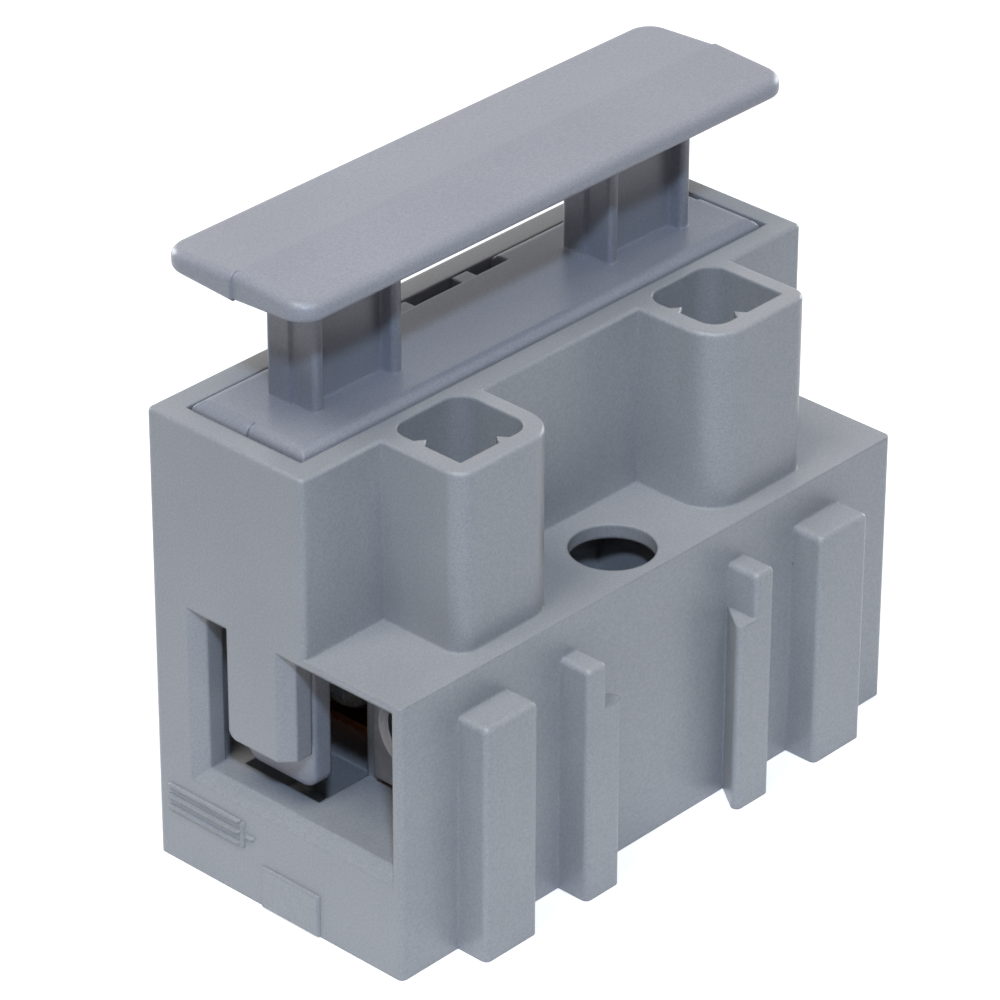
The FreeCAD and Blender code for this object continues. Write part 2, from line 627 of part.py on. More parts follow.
def add_handle_half(body, side):
    """Half of the handle, thinner towards its edge; side is +1 for the rear half."""
    sign = "+" if side > 0 else "-"
    edge_y = f"drawer_y {sign} handle_half_width"
    sketch = new_sketch(body, "YZ_Plane")
    outline(sketch, [("drawer_y", "handle_bottom"), (edge_y, "handle_edge_bottom"),
                     (edge_y, "handle_edge_top"), ("drawer_y", "handle_top")])
    pad(body, sketch, "2 * handle_half_length", symmetric=True)
    rim = at("drawer_y") + side * at("handle_half_width")
    fillet(body, "handle_corner", lambda edge: any(
        is_upright_at(edge, end * at("handle_half_length"), rim) for end in (-1, 1)))

    def on_outline(edge):
        """True for an edge that is neither on the parting plane nor where a post joins."""
        box = box_of(edge)
        on_ridge = box.YLength < NEAR and abs(box.YMin - at("drawer_y")) < NEAR
        return not on_ridge and max(abs(box.XMin), abs(box.XMax)) > at("post_to") + NEAR

    fillet(body, "handle_round", lambda edge: on_outline(edge)
           and box_of(edge).ZMin > at("handle_edge_top") - NEAR)
    fillet(body, "handle_under_round", lambda edge: on_outline(edge)
           and box_of(edge).ZMax < at("handle_edge_bottom") + NEAR)


def add_flange_half(body, side):
    sign = "+" if side > 0 else "-"
    edge_y = f"drawer_y {sign} flange_half_width"
    sketch = new_sketch(body, "XY_Plane", "flange_bottom")
    rectangle(sketch, "-flange_half", "flange_half", "drawer_y", edge_y)
    pad(body, sketch, "flange_thickness")
    rim = at("drawer_y") + side * at("flange_half_width")

    def upper_rim(edge):
        box = box_of(edge)
        level = box.ZLength < NEAR and abs(box.ZMin - at("flange_top")) < NEAR
        at_rim = box.YLength < NEAR and abs(box.YMin - rim) < NEAR and box.XLength > at("flange_half")
        at_end = box.XLength < NEAR and abs(abs(box.XMin) - at("flange_half")) < NEAR
        return level and (at_rim or at_end)

    fillet(body, "flange_round", upper_rim)


def cut_test_notch(body):
    """The notch in the flange's rear edge that shows the fuse, with a low lug on each side."""
    sketch = new_sketch(body, "XY_Plane", "flange_top")
    rectangle(sketch, "-notch_half", "notch_half",
              "drawer_y + notch_half_width", "drawer_y + flange_half_width")
    pocket(body, sketch, "flange_thickness")
    sketch = new_sketch(body, "XY_Plane", "flange_bottom")
    for side in (-1, 1):
        rectangle(sketch, mirrored(side, "notch_lug_from"), mirrored(side, "notch_lug_to"),
                  "drawer_y + notch_half_width", "drawer_y + flange_half_width")
    pad(body, sketch, "flange_thickness - notch_lug_drop")


def make_drawer_half(label, side):
    body = new_body(label)
    add_post_halves(body, side)
    add_handle_half(body, side)
    add_flange_half(body, side)
    if side > 0:
        cut_test_notch(body)
    return body


def make_drawer_frame():
    """Spine, legs, fuse cradle and end stops, all hanging from the flange."""
    body = new_body("drawer_frame")
    overlap = "flange_bottom + flange_thickness / 2"
    sketch = new_sketch(body, "YZ_Plane")
    rectangle(sketch, "drawer_y - spine_half", "drawer_y + spine_half", "spine_bottom", overlap)
    pad(body, sketch, "2 * leg_in + leg_thickness", symmetric=True)
    for side in (-1, 1):
        sketch = new_sketch(body, "YZ_Plane", mirrored(side, "(leg_in + leg_out) / 2"))
        rectangle(sketch, "leg_front", "leg_back", "leg_bottom", overlap)
        pad(body, sketch, "leg_thickness", symmetric=True)

    def leg_corner(edge):
        box = box_of(edge)
        across = box.YLength < NEAR and box.ZLength < NEAR
        return across and abs(box.ZMin - at("leg_bottom")) < NEAR

    fillet(body, "leg_round", leg_corner)

    def leg_upright(edge):
        box = box_of(edge)
        on_face = abs(abs(box.XMin) - at("leg_out")) < NEAR and box.XLength < NEAR
        return on_face and box.ZMax < at("seat_z") + NEAR + at("flange_thickness")

    fillet(body, "leg_side_round", leg_upright)
    sketch = new_sketch(body, "YZ_Plane")
    rectangle(sketch, "drawer_y - cradle_half_width", "drawer_y + cradle_half_width",
              "cradle_bottom", "cradle_top")
    pad(body, sketch, "2 * cradle_half_length", symmetric=True)
    sketch = new_sketch(body, "XY_Plane", "stop_bottom")
    for side in (-1, 1):
        rectangle(sketch, mirrored(side, "stop_from"), mirrored(side, "stop_to"),
                  "drawer_y - stop_half_width", "drawer_y + stop_half_width")
    pad(body, sketch, overlap + " - stop_bottom")
    sketch = new_sketch(body, "YZ_Plane")
    circle(sketch, "drawer_y", "fuse_axis_height", "2 * cradle_radius")
    pocket(body, sketch, "2 * cradle_half_length + 2 * stop_gap", symmetric=True)
    return body


def make_drawer():
    rear = make_drawer_half("drawer_rear_half", 1)
    front = make_drawer_half("drawer_front_half", -1)
    rear.setExpression("Placement.Base.x", formula("-mould_shift"))
    drawer = document.addObject("Part::MultiFuse", "fuse_drawer")
    drawer.Label = "fuse_drawer"
    drawer.Shapes = [rear, front, make_drawer_frame()]
    drawer.Refine = True
    return drawer


# Fuse: glass tube, two caps and the melting wire, all on one axis along X

def make_glass_tube():
    body = new_body("fuse_glass_tube")
    sketch = new_sketch(body, "YZ_Plane")
    circle(sketch, "drawer_y", "fuse_axis_height", "2 * glass_radius")
    circle(sketch, "drawer_y", "fuse_axis_height", "2 * (glass_radius - glass_wall)")
    pad(body, sketch, "fuse_length - 2 * cap_skin", symmetric=True)
    return body


def make_cap(name, side):
    body = new_body(name)
    sketch = new_sketch(body, "YZ_Plane", mirrored(side, "fuse_half - cap_length / 2"))
    circle(sketch, "drawer_y", "fuse_axis_height", "cap_diameter")
    pad(body, sketch, "cap_length", symmetric=True)
    sketch = new_sketch(body, "YZ_Plane", mirrored(side, "fuse_half - cap_length"))
    circle(sketch, "drawer_y", "fuse_axis_height", "cap_diameter - 2 * cap_skin")
    pocket(body, sketch, "cap_length - cap_skin", along_normal=side > 0)
    chamfer(body, "cap_edge", lambda edge: abs(abs(box_of(edge).XMin) - at("fuse_half")) < NEAR
            and box_of(edge).XLength < NEAR)
    return body


def make_fuse_wire():
    body = new_body("fuse_wire")
    sketch = new_sketch(body, "YZ_Plane")
    circle(sketch, "drawer_y", "fuse_axis_height", "fuse_wire_diameter")
    pad(body, sketch, "fuse_length - 2 * cap_skin", symmetric=True)
    return body


# Terminals: contact strip with its fuse clip, brass body, screw and wire guard

def make_contact_strip(name, side):
    body = new_body(name)
    sketch = new_sketch(body, "YZ_Plane", mirrored(side, "(clip_from_middle + clip_to) / 2"))
    outline(sketch, [
        ("drawer_y - clip_base_half", "sill_height"),
        ("drawer_y + clip_base_half", "sill_height"),
        ("drawer_y + leaf_outside", "clip_straight_from"),
        ("drawer_y + leaf_outside", "clip_straight_to"),
        ("drawer_y + lip_outside", "lip_z"),
        ("drawer_y + lip_inside", "lip_z"),
        ("drawer_y + leaf_inside", "clip_straight_to"),
        ("drawer_y + leaf_inside", "clip_straight_from"),
        ("drawer_y + clip_foot_inside", "strip_top"),
        ("drawer_y - clip_foot_inside", "strip_top"),
        ("drawer_y - leaf_inside", "clip_straight_from"),
        ("drawer_y - leaf_inside", "clip_straight_to"),
        ("drawer_y - lip_inside", "lip_z"),
        ("drawer_y - lip_outside", "lip_z"),
        ("drawer_y - leaf_outside", "clip_straight_to"),
        ("drawer_y - leaf_outside", "clip_straight_from"),
    ])
    pad(body, sketch, "clip_width", symmetric=True)
    sketch = new_sketch(body, "XY_Plane", "sill_height")
    outline(sketch, [(mirrored(side, "strip_in"), "strip_front"),
                     (mirrored(side, "strip_out"), "strip_front"),
                     (mirrored(side, "strip_out"), "pocket_back"),
                     (mirrored(side, "clip_to"), "pocket_back"),
                     (mirrored(side, "clip_to"), "drawer_y"),
                     (mirrored(side, "clip_from_middle"), "drawer_y"),
                     (mirrored(side, "clip_from_middle"), "pocket_back"),
                     (mirrored(side, "strip_in"), "pocket_back")])
    circle(sketch, mirrored(side, "screw_from_middle"), "screw_y", "spigot_diameter + 2 * spigot_gap")
    pad(body, sketch, "strip_thickness")
    return body


def make_terminal_body(name, side):
    body = new_body(name)
    sketch = new_sketch(body, "YZ_Plane", mirrored(side, "screw_from_middle"))
    rectangle(sketch, "terminal_front", "terminal_back", "strip_top", "terminal_top")
    circle(sketch, "screw_y", "wire_z", "wire_bore_diameter")
    pad(body, sketch, "terminal_length", symmetric=True)

    def long_edge(edge):
        box = box_of(edge)
        along = box.YLength < NEAR and box.ZLength < NEAR
        at_side = min(abs(box.YMin - at("terminal_front")), abs(box.YMin - at("terminal_back"))) < NEAR
        return along and at_side

    chamfer(body, "terminal_chamfer", long_edge)
    mouth = side * at("terminal_out")
    chamfer(body, "wire_bore_mouth", lambda edge: isinstance(edge.Curve, Part.Circle)
            and abs(box_of(edge).XMin - mouth) < NEAR and box_of(edge).XLength < NEAR)
    sketch = new_sketch(body, "XY_Plane", "terminal_top")
    circle(sketch, mirrored(side, "screw_from_middle"), "screw_y", "thread_diameter")
    pocket(body, sketch, "terminal_top - wire_z")
    sketch = new_sketch(body, "XY_Plane", "sill_height")
    circle(sketch, mirrored(side, "screw_from_middle"), "screw_y", "spigot_diameter")
    pad(body, sketch, "strip_thickness")
    return body


def make_terminal_screw(name, side):
    """Slotted screw, turned about its own Z axis and then set over its terminal."""
    body = new_body(name)
    sketch = new_sketch(body, "XZ_Plane")
    outline(sketch, [(MIDDLE, "screw_tip_z"), ("screw_radius - screw_tip", "screw_tip_z"),
                     ("screw_radius", "screw_neck_z"), ("screw_radius", "screw_head_z"),
                     ("screw_head_diameter / 2", "screw_head_z"),
                     ("screw_head_diameter / 2", "screw_top_z"), (MIDDLE, "screw_top_z")])
    turned = body.newObject("PartDesign::Revolution", name + "_revolution")
    turned.Profile = sketch
    turned.ReferenceAxis = (sketch, ["V_Axis"])
    finish(body, turned, 0.0, True)
    sketch = new_sketch(body, "XY_Plane", "screw_top_z")
    rectangle(sketch, "-screw_head_diameter", "screw_head_diameter",
              "-screw_slot_width / 2", "screw_slot_width / 2")
    pocket(body, sketch, "screw_slot_depth")
    body.setExpression("Placement.Base.x", formula(mirrored(side, "screw_from_middle")))
    body.setExpression("Placement.Base.y", formula("screw_y"))
    return body


def make_wire_guard(name, side):
    """Plate between the screw's tip and the wire, hooked over the inner end of the terminal body."""
    body = new_body(name)
    sketch = new_sketch(body, "XZ_Plane", "-screw_y")
    outline(sketch, [(mirrored(side, "guard_hook_in"), "guard_bottom"),
                     (mirrored(side, "terminal_out - wire_bore_mouth"), "guard_bottom"),
                     (mirrored(side, "terminal_out - wire_bore_mouth"), "guard_top"),
                     (mirrored(side, "guard_hook_out"), "guard_top"),
                     (mirrored(side, "guard_hook_out"), "guard_hook_top"),
                     (mirrored(side, "guard_hook_in"), "guard_hook_top")])
    pad(body, sketch, "2 * guard_half_width", symmetric=True)
    return body


# Build every piece, check it and write it out

pieces = [make_housing(), make_drawer(), make_glass_tube(), make_fuse_wire()]
for word, side in (("left", -1), ("right", 1)):
    pieces.append(make_cap(word + "_fuse_cap", side))
    pieces.append(make_contact_strip(word + "_contact_strip", side))
    pieces.append(make_terminal_body(word + "_terminal_body", side))
    pieces.append(make_terminal_screw(word + "_terminal_screw", side))
    pieces.append(make_wire_guard(word + "_wire_guard", side))

document.recompute()
for item in document.Objects:
    if "Invalid" in item.State or "Error" in item.State:
        raise RuntimeError(f"{item.Label} failed: {item.State}")
for piece in pieces:
    if piece.Shape.isNull() or not piece.Shape.isValid() or len(piece.Shape.Solids) != 1:
        raise RuntimeError(f"{piece.Label} is not one valid solid")

os.makedirs("parts", exist_ok=True)
for piece in pieces:
    piece.Shape.exportStep(f"parts/{piece.Label}.step")
    box = piece.Shape.BoundBox
    print(f"{piece.Label}: {piece.Shape.Volume:.2f} mm3, "
          f"x {box.XMin:.2f} to {box.XMax:.2f}, y {box.YMin:.2f} to {box.YMax:.2f}, "
          f"z {box.ZMin:.2f} to {box.ZMax:.2f}")
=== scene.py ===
import math

import bmesh
import bpy
from mathutils import Matrix, Vector


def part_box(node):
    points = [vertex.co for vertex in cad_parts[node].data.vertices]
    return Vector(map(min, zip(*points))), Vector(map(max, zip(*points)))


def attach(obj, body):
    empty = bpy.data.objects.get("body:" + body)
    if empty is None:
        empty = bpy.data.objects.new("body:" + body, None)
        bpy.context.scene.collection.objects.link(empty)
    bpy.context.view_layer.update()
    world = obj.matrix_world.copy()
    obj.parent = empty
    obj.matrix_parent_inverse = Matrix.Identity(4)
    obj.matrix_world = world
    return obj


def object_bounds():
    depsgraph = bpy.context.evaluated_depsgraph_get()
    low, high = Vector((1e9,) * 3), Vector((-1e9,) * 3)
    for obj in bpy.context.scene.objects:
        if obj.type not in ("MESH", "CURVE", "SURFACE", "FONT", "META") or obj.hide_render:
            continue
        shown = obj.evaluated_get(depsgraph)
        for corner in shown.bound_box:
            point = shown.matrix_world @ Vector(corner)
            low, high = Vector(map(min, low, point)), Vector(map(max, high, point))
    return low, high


# Fused terminal block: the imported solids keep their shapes, and this script gives them their
# finishes, the moulded marks of the end face, and a plain studio.

MM = 0.001

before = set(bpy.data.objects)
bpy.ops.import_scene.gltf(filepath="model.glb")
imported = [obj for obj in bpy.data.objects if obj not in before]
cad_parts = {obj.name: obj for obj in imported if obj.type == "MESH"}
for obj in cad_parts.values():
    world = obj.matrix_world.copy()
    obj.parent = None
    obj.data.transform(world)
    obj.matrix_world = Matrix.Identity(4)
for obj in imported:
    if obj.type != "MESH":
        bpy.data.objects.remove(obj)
cad_low, cad_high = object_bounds()

housing_low, housing_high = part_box("housing")


# Camera, fitted to corners of the housing in the photograph

CAMERA_AZIMUTH = -46.964
CAMERA_ELEVATION = 30.266
CAMERA_ROLL = 0.17
CAMERA_DISTANCE = 247.73 * MM
CAMERA_TARGET = Vector((-9.168, -5.745, 21.643)) * MM
CAMERA_LENS = 199.54
CAMERA_SENSOR = 36.0


def direction(azimuth, elevation):
    """Unit vector from the object towards a place at that azimuth and elevation, in degrees."""
    turn, rise = math.radians(azimuth), math.radians(elevation)
    return Vector((math.sin(turn) * math.cos(rise), -math.cos(turn) * math.cos(rise), math.sin(rise)))


def make_camera():
    data = bpy.data.cameras.new("camera")
    data.lens = CAMERA_LENS
    data.sensor_width = CAMERA_SENSOR
    data.clip_start = CAMERA_DISTANCE / 100
    data.clip_end = CAMERA_DISTANCE * 100
    camera = bpy.data.objects.new("camera", data)
    bpy.context.scene.collection.objects.link(camera)
    back = direction(CAMERA_AZIMUTH, CAMERA_ELEVATION)
    aim = (-back).to_track_quat("-Z", "Y").to_matrix().to_4x4()
    roll = Matrix.Rotation(math.radians(CAMERA_ROLL), 4, "Z")
    camera.matrix_world = Matrix.Translation(CAMERA_TARGET + back * CAMERA_DISTANCE) @ aim @ roll
    bpy.context.scene.camera = camera


# Node helpers

def linear(red, green, blue):
    """A colour given as it shows on screen, 0 to 255, as the linear values that Blender takes."""
    def channel(value):
        value /= 255
        return value / 12.92 if value <= 0.04045 else ((value + 0.055) / 1.055) ** 2.4
    return (channel(red), channel(green), channel(blue), 1.0)


class Tree:
    """Short calls for building one material's node tree."""

    def __init__(self, name):
        self.material = bpy.data.materials.new(name)
        self.material.use_nodes = True
        self.nodes = self.material.node_tree.nodes
        self.links = self.material.node_tree.links
        self.nodes.clear()

    def add(self, kind, **settings):
        """A node, with attributes by name and socket values given as in_<socket name>."""
        node = self.nodes.new(kind)
        for key, value in settings.items():
            if key.startswith("in_"):
                node.inputs[key[3:].replace("_", " ")].default_value = value
            else:
                setattr(node, key, value)
        return node

    def join(self, source, output, target, socket):
        self.links.new(source.outputs[output], target.inputs[socket])

    def ramp(self, source, output, stops):
        """A colour ramp driven by a value; stops are (place, colour)."""
        node = self.nodes.new("ShaderNodeValToRGB")
        while len(node.color_ramp.elements) < len(stops):
            node.color_ramp.elements.new(0.5)
        for element, (place, colour) in zip(node.color_ramp.elements, stops):
            element.position = place
            element.color = colour
        self.join(source, output, node, "Fac")
        return node


def grey(value):
    return (value, value, value, 1.0)


# Moulded plastic: clouds of tone, sparse specks, and a fine grain in colour and relief

EDGE_SOFTNESS = 0.2 * MM
EDGE_SAMPLES = 6
CLOUD_SCALE = 130.0
CLOUD_FROM, CLOUD_TO = 0.3, 0.7
SHEEN_FROM, SHEEN_TO = 0.25, 0.75
SMOOTHER, ROUGHER = 0.05, 0.06
SPECK_SCALE = 420.0
SPECK_SIZE = 0.045
SPECK_EDGE = 1.6
SPECK_SHARE = 0.09
SPECK_SHARE_END = 0.1
SPECK_TONE = linear(92, 94, 100)
GRAIN_SCALE = 9000.0
GRAIN_FROM, GRAIN_TO = 0.36, 0.64
GRAIN_DARK = (0.8, 0.81, 0.83, 1.0)
GRAIN_BUMP = 0.012 * MM
GRAIN_STRENGTH = 0.35
PLASTIC_IOR = 1.5


def moulded_plastic(name, light, dark, roughness, gloss):
    """Satin moulded plastic between two tones, with specks, grain and softened edges."""
    tree = Tree(name)
    place = tree.add("ShaderNodeTexCoord")
    clouds = tree.add("ShaderNodeTexNoise", in_Scale=CLOUD_SCALE, in_Detail=5.0, in_Roughness=0.6)
    tree.join(place, "Object", clouds, "Vector")
    tone = tree.ramp(clouds, "Fac", [(CLOUD_FROM, dark), (CLOUD_TO, light)])
    specks = tree.add("ShaderNodeTexVoronoi", in_Scale=SPECK_SCALE, in_Randomness=1.0)
    tree.join(place, "Object", specks, "Vector")
    chosen_stops = [(0.0, grey(1)), (SPECK_SHARE, grey(1)), (SPECK_SHARE_END, grey(0))]
    chosen = tree.ramp(specks, "Color", chosen_stops)
    near_stops = [(0.0, grey(1)), (SPECK_SIZE, grey(1)), (SPECK_SIZE * SPECK_EDGE, grey(0))]
    near = tree.ramp(specks, "Distance", near_stops)
    both = tree.add("ShaderNodeMath", operation="MULTIPLY")
    tree.join(chosen, "Color", both, 0)
    tree.join(near, "Color", both, 1)
    spotted = tree.add("ShaderNodeMix", data_type="RGBA")
    spotted.inputs["B"].default_value = SPECK_TONE
    tree.join(both, "Value", spotted, "Factor")
    tree.join(tone, "Color", spotted, "A")
    grain = tree.add("ShaderNodeTexNoise", in_Scale=GRAIN_SCALE, in_Detail=3.0, in_Roughness=0.7)
    tree.join(place, "Object", grain, "Vector")
    grain_tone = tree.ramp(grain, "Fac", [(GRAIN_FROM, GRAIN_DARK), (GRAIN_TO, grey(1.0))])
    grained = tree.add("ShaderNodeMix", data_type="RGBA", blend_type="MULTIPLY")
    grained.inputs["Factor"].default_value = 1.0
    tree.join(spotted, "Result", grained, "A")
    tree.join(grain_tone, "Color", grained, "B")
    soft = tree.add("ShaderNodeBevel", samples=EDGE_SAMPLES, in_Radius=EDGE_SOFTNESS)
    bump = tree.add("ShaderNodeBump", in_Strength=GRAIN_STRENGTH, in_Distance=GRAIN_BUMP)
    tree.join(grain, "Fac", bump, "Height")
    tree.join(soft, "Normal", bump, "Normal")
    sheen_stops = [(SHEEN_FROM, grey(roughness - SMOOTHER)), (SHEEN_TO, grey(roughness + ROUGHER))]
    sheen = tree.ramp(clouds, "Fac", sheen_stops)
    shader = tree.add("ShaderNodeBsdfPrincipled", in_IOR=PLASTIC_IOR)
    shader.inputs["Specular IOR Level"].default_value = gloss
    tree.join(grained, "Result", shader, "Base Color")
    tree.join(sheen, "Color", shader, "Roughness")
    tree.join(bump, "Normal", shader, "Normal")
    out = tree.add("ShaderNodeOutputMaterial")
    tree.join(shader, "BSDF", out, "Surface")
    return tree.material


# Metal: tone, sheen and relief in lines along the drawing direction

LINE_SCALE = 600.0
LINE_FROM, LINE_TO = 0.3, 0.7
LINE_SMOOTHER, LINE_ROUGHER = 0.08, 0.12
LINE_BUMP = 0.01 * MM
LINE_STRENGTH = 0.25
METAL_EDGE = 0.06 * MM
METAL_EDGE_SAMPLES = 4


def metal(name, light, dark, roughness, streaks):
    """Metal with tone that varies along its drawing direction; streaks is the stretch per axis."""
    tree = Tree(name)
    place = tree.add("ShaderNodeTexCoord")
    stretch = tree.add("ShaderNodeMapping")
    stretch.inputs["Scale"].default_value = streaks
    tree.join(place, "Object", stretch, "Vector")
    lines = tree.add("ShaderNodeTexNoise", in_Scale=LINE_SCALE, in_Detail=6.0, in_Roughness=0.65)
    tree.join(stretch, "Vector", lines, "Vector")
    tone = tree.ramp(lines, "Fac", [(LINE_FROM, dark), (LINE_TO, light)])
    sheen_stops = [(SHEEN_FROM, grey(roughness - LINE_SMOOTHER)),
                   (SHEEN_TO, grey(roughness + LINE_ROUGHER))]
    sheen = tree.ramp(lines, "Fac", sheen_stops)
    soft = tree.add("ShaderNodeBevel", samples=METAL_EDGE_SAMPLES, in_Radius=METAL_EDGE)
    bump = tree.add("ShaderNodeBump", in_Strength=LINE_STRENGTH, in_Distance=LINE_BUMP)
    tree.join(lines, "Fac", bump, "Height")
    tree.join(soft, "Normal", bump, "Normal")
    shader = tree.add("ShaderNodeBsdfPrincipled", in_Metallic=1.0)
    tree.join(tone, "Color", shader, "Base Color")
    tree.join(sheen, "Color", shader, "Roughness")
    tree.join(bump, "Normal", shader, "Normal")
    out = tree.add("ShaderNodeOutputMaterial")
    tree.join(shader, "BSDF", out, "Surface")
    return tree.material


# Glass of the fuse tube, with the faint waves of drawn tube

GLASS_IOR = 1.5
GLASS_ROUGHNESS = 0.03
GLASS_TINT = linear(240, 246, 244)
WAVE_SCALE = 180.0
WAVE_BUMP = 0.02 * MM
WAVE_STRENGTH = 0.08


def clear_glass(name):
    tree = Tree(name)
    place = tree.add("ShaderNodeTexCoord")
    waves = tree.add("ShaderNodeTexNoise", in_Scale=WAVE_SCALE, in_Detail=2.0)
    tree.join(place, "Object", waves, "Vector")
    bump = tree.add("ShaderNodeBump", in_Strength=WAVE_STRENGTH, in_Distance=WAVE_BUMP)
    tree.join(waves, "Fac", bump, "Height")
    shader = tree.add("ShaderNodeBsdfPrincipled", in_IOR=GLASS_IOR, in_Roughness=GLASS_ROUGHNESS)
    shader.inputs["Transmission Weight"].default_value = 1.0
    shader.inputs["Base Color"].default_value = GLASS_TINT
    tree.join(bump, "Normal", shader, "Normal")
    out = tree.add("ShaderNodeOutputMaterial")
    tree.join(shader, "BSDF", out, "Surface")
    return tree.material


def dress_nodes():
    """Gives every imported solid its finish, and returns the housing's for the marks on it."""
    housing = moulded_plastic("housing_plastic", light=linear(172, 171, 171),
                              dark=linear(165, 164, 165), roughness=0.34, gloss=0.5)
    drawer = moulded_plastic("drawer_plastic", light=linear(163, 162, 167),
                             dark=linear(156, 155, 161), roughness=0.35, gloss=0.55)
    bronze = metal("spring_bronze", light=linear(196, 132, 84), dark=linear(150, 88, 52),
                   roughness=0.34, streaks=(1, 12, 12))
    brass = metal("plated_brass", light=linear(158, 156, 158), dark=linear(122, 120, 122),
                  roughness=0.5, streaks=(8, 1, 1))
    cap = metal("plated_cap", light=linear(206, 204, 198), dark=linear(176, 174, 170),
                roughness=0.2, streaks=(1, 6, 6))
    zinc = metal("zinc_steel", light=linear(190, 194, 200), dark=linear(150, 154, 160),
                 roughness=0.32, streaks=(10, 10, 1))
    sheet = metal("guard_steel", light=linear(180, 180, 182), dark=linear(140, 140, 142),
                  roughness=0.36, streaks=(1, 10, 1))
    thin = metal("fuse_wire_metal", light=linear(190, 190, 188), dark=linear(160, 160, 160),
                 roughness=0.3, streaks=(1, 4, 4))
    finishes = {
        "housing": housing,
        "fuse_drawer": drawer,
        "fuse_glass_tube": clear_glass("fuse_glass"),
        "fuse_wire": thin,
    }
    for side in ("left", "right"):
        finishes[side + "_fuse_cap"] = cap
        finishes[side + "_contact_strip"] = bronze
        finishes[side + "_terminal_body"] = brass
        finishes[side + "_terminal_screw"] = zinc
        finishes[side + "_wire_guard"] = sheet
    for name, finish in finishes.items():
        for material_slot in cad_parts[name].material_slots:
            material_slot.material = finish
    return housing


# Moulded marks on the left end face: a bare raised label pad, and a strip length pictogram,
# which is a stripped wire: a sheath of three lines with one closed end, and its bare conductor

MARK_HEIGHT = 0.16 * MM
MARK_WIDTH = 0.28 * MM
LABEL_PAD_FROM, LABEL_PAD_TO = -1.85 * MM, 1.95 * MM
LABEL_PAD_TOP = 2.3 * MM
SHEATH_FROM, SHEATH_TO = 3.3 * MM, 8.1 * MM
SHEATH_LOW = 2.85 * MM
SHEATH_PITCH = 0.6 * MM
SHEATH_LINES = 3
CONDUCTOR_LENGTH = 0.62 * MM
MARK_SLOPE = 0.55


def raised_bar(mesh, low, high):
    """A bar on the end face, from its low to its high corner in Y and Z, with softened edges."""
    face_x = housing_low.x
    corners = [(low[0], low[1]), (high[0], low[1]), (high[0], high[1]), (low[0], high[1])]
    back = [mesh.verts.new((face_x + MARK_HEIGHT / 2, y, z)) for y, z in corners]
    inset = MARK_HEIGHT * MARK_SLOPE
    middle_y = (low[0] + high[0]) / 2
    middle_z = (low[1] + high[1]) / 2
    front = []
    for y, z in corners:
        y += math.copysign(inset, middle_y - y)
        z += math.copysign(inset, middle_z - z)
        front.append(mesh.verts.new((face_x - MARK_HEIGHT, y, z)))
    mesh.faces.new(front)
    mesh.faces.new(list(reversed(back)))
    for step in range(len(corners)):
        follower = (step + 1) % len(corners)
        mesh.faces.new((back[step], back[follower], front[follower], front[step]))


def add_end_marks(finish):
    mesh = bmesh.new()
    raised_bar(mesh, (LABEL_PAD_FROM, housing_low.z), (LABEL_PAD_TO, housing_low.z + LABEL_PAD_TOP))
    for line in range(SHEATH_LINES):
        middle = SHEATH_LOW + line * SHEATH_PITCH
        raised_bar(mesh, (SHEATH_FROM, middle - MARK_WIDTH / 2), (SHEATH_TO, middle + MARK_WIDTH / 2))
    sheath_high = SHEATH_LOW + (SHEATH_LINES - 1) * SHEATH_PITCH
    sheath_middle = (SHEATH_LOW + sheath_high) / 2
    raised_bar(mesh, (SHEATH_FROM - MARK_WIDTH, SHEATH_LOW - MARK_WIDTH / 2),
               (SHEATH_FROM, sheath_high + MARK_WIDTH / 2))
    raised_bar(mesh, (SHEATH_FROM - MARK_WIDTH - CONDUCTOR_LENGTH, sheath_middle - MARK_WIDTH / 2),
               (SHEATH_FROM - MARK_WIDTH, sheath_middle + MARK_WIDTH / 2))
    bmesh.ops.recalc_face_normals(mesh, faces=mesh.faces)
    data = bpy.data.meshes.new("end_face_marks")
    mesh.to_mesh(data)
    mesh.free()
    marks = bpy.data.objects.new("end_face_marks", data)
    bpy.context.scene.collection.objects.link(marks)
    data.materials.append(finish)
    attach(marks, "block")


# Studio: the floor's tone and glow are what the camera sees, and its bounce is what lights the
# block, in full up to one distance and fading out to another. Under the block, drawn in from the
# housing's box by these insets (on Y by more than the ribs stand out), the floor is painted shade:
# it neither glows nor bounces light, so the block's hollows stay dark.

FLOOR_HALF = 2.0
FLOOR_DROP = 0.02 * MM
FLOOR_SEEN = 0.8
FLOOR_GLOW = 0.55
FLOOR_BOUNCE = 0.97
BOUNCE_FULL, BOUNCE_END = 50 * MM, 110 * MM
PAINTED_SHADE_INSETS = {"X": 1 * MM, "Y": 3 * MM}
WORLD_STRENGTH = 0.02


def seen_directly(nodes, links):
    """A value of 1 for what the camera sees, straight on, mirrored or through glass, else 0."""
    ray = nodes.new("ShaderNodeLightPath")
    first = nodes.new("ShaderNodeMath")
    first.operation = "MAXIMUM"
    links.new(ray.outputs["Is Camera Ray"], first.inputs[0])
    links.new(ray.outputs["Is Glossy Ray"], first.inputs[1])
    both = nodes.new("ShaderNodeMath")
    both.operation = "MAXIMUM"
    links.new(first.outputs["Value"], both.inputs[0])
    links.new(ray.outputs["Is Transmission Ray"], both.inputs[1])
    return both.outputs["Value"]


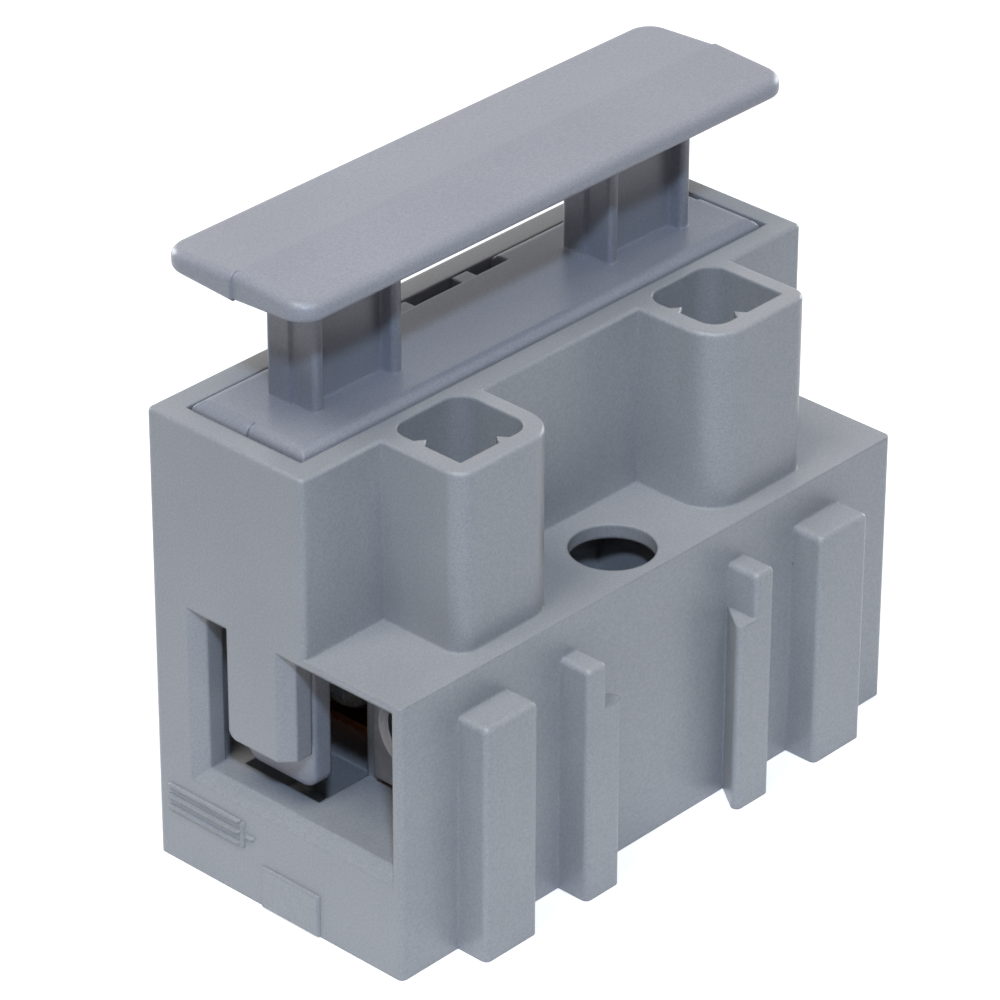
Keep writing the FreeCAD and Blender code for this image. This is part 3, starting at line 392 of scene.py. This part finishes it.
def make_floor():
    """A white floor that keeps the object's shadow, shows as white to the camera, and lights the
    object from below where it is near, as a sheet of paper would. Under the block it is painted
    shade, black to bounced light and without glow, so the block's hollows stay dark."""
    tree = Tree("floor_white")
    matt = tree.add("ShaderNodeBsdfDiffuse", in_Color=grey(FLOOR_SEEN))
    place = tree.add("ShaderNodeTexCoord")
    parts = tree.add("ShaderNodeSeparateXYZ")
    tree.join(place, "Object", parts, "Vector")
    middle = (housing_low + housing_high) / 2
    half = (housing_high - housing_low) / 2
    inside = []
    for index, (axis, inset) in enumerate(PAINTED_SHADE_INSETS.items()):
        within = tree.add("ShaderNodeMath", operation="COMPARE")
        within.inputs[1].default_value = middle[index]
        within.inputs[2].default_value = half[index] - inset
        tree.join(parts, axis, within, 0)
        inside.append(within)
    # painted shade: 1 on the floor's patch under the block, where glow and bounce are taken away
    painted_shade_patch = tree.add("ShaderNodeMath", operation="MULTIPLY")
    tree.join(inside[0], "Value", painted_shade_patch, 0)
    tree.join(inside[1], "Value", painted_shade_patch, 1)
    strength = tree.add("ShaderNodeMapRange", in_To_Min=FLOOR_GLOW, in_To_Max=0.0)
    tree.join(painted_shade_patch, "Value", strength, "Value")
    glow = tree.add("ShaderNodeEmission", in_Color=grey(1.0))
    tree.join(strength, "Result", glow, "Strength")
    away = tree.add("ShaderNodeVectorMath", operation="LENGTH")
    tree.join(place, "Object", away, 0)
    fade = tree.add("ShaderNodeMapRange", in_From_Min=BOUNCE_FULL, in_From_Max=BOUNCE_END,
                    in_To_Min=FLOOR_BOUNCE, in_To_Max=0.0)
    tree.join(away, "Value", fade, "Value")
    # painted shade: the floor's bounce is black on the patch under the block
    unshaded_floor = tree.add("ShaderNodeMapRange", in_To_Min=1.0, in_To_Max=0.0)
    tree.join(painted_shade_patch, "Value", unshaded_floor, "Value")
    bounce_tone = tree.add("ShaderNodeMath", operation="MULTIPLY")
    tree.join(fade, "Result", bounce_tone, 0)
    tree.join(unshaded_floor, "Result", bounce_tone, 1)
    bounce = tree.add("ShaderNodeBsdfDiffuse")
    tree.join(bounce_tone, "Value", bounce, "Color")
    lit = tree.add("ShaderNodeAddShader")
    tree.join(matt, "BSDF", lit, 0)
    tree.join(glow, "Emission", lit, 1)
    choice = tree.add("ShaderNodeMixShader")
    tree.links.new(seen_directly(tree.nodes, tree.links), choice.inputs[0])
    tree.links.new(bounce.outputs["BSDF"], choice.inputs[1])
    tree.links.new(lit.outputs["Shader"], choice.inputs[2])
    out = tree.add("ShaderNodeOutputMaterial")
    tree.join(choice, "Shader", out, "Surface")
    data = bpy.data.meshes.new("floor")
    corners = [(-FLOOR_HALF, -FLOOR_HALF, 0), (FLOOR_HALF, -FLOOR_HALF, 0),
               (FLOOR_HALF, FLOOR_HALF, 0), (-FLOOR_HALF, FLOOR_HALF, 0)]
    data.from_pydata(corners, [], [(0, 1, 2, 3)])
    data.materials.append(tree.material)
    floor = bpy.data.objects.new("floor", data)
    floor.location.z = cad_low.z - FLOOR_DROP
    bpy.context.scene.collection.objects.link(floor)


def make_world():
    """A white surround for the camera, and a weak even light for the object."""
    world = bpy.data.worlds.new("studio")
    bpy.context.scene.world = world
    world.use_nodes = True
    nodes, links = world.node_tree.nodes, world.node_tree.links
    nodes.clear()
    room = nodes.new("ShaderNodeBackground")
    room.inputs["Color"].default_value = grey(1.0)
    room.inputs["Strength"].default_value = WORLD_STRENGTH
    white = nodes.new("ShaderNodeBackground")
    white.inputs["Color"].default_value = grey(1.0)
    white.inputs["Strength"].default_value = 1.0
    choice = nodes.new("ShaderNodeMixShader")
    out = nodes.new("ShaderNodeOutputWorld")
    links.new(seen_directly(nodes, links), choice.inputs[0])
    links.new(room.outputs["Background"], choice.inputs[1])
    links.new(white.outputs["Background"], choice.inputs[2])
    links.new(choice.outputs["Shader"], out.inputs["Surface"])


# Lamps round the middle of the block: name, azimuth, elevation, size, power and colour. The small
# key lamp is as blue as daylight, the three soft ones are white, and the last two, a little cool,
# light the far sides.

LAMP_DISTANCE = 0.45
DAYLIGHT = (0.55, 0.73, 1.0)
WHITE = (1.0, 0.985, 0.95)
COOL = (0.9, 0.95, 1.0)
LAMPS = [
    ("key_lamp", -45.0, 45.0, 0.03, 0.98, DAYLIGHT),
    ("left_lamp", -90.0, 65.0, 0.16, 0.84, WHITE),
    ("front_lamp", 0.0, 65.0, 0.16, 0.45, WHITE),
    ("top_lamp", 180.0, 80.0, 0.14, 0.12, WHITE),
    ("right_lamp", 92.0, 8.0, 0.16, 0.8, COOL),
    ("back_lamp", 178.0, 8.0, 0.16, 0.8, COOL),
]


def make_lamps():
    middle = (cad_low + cad_high) / 2
    for name, azimuth, elevation, size, power, colour in LAMPS:
        data = bpy.data.lights.new(name, "AREA")
        data.size = size
        data.energy = power
        data.color = colour
        lamp = bpy.data.objects.new(name, data)
        towards = direction(azimuth, elevation)
        lamp.location = middle + towards * LAMP_DISTANCE
        lamp.rotation_mode = "QUATERNION"
        lamp.rotation_quaternion = towards.to_track_quat("Z", "Y")
        bpy.context.scene.collection.objects.link(lamp)


make_camera()
housing_finish = dress_nodes()
add_end_marks(housing_finish)
make_floor()
make_world()
make_lamps()
bpy.context.scene.view_settings.view_transform = "Standard"
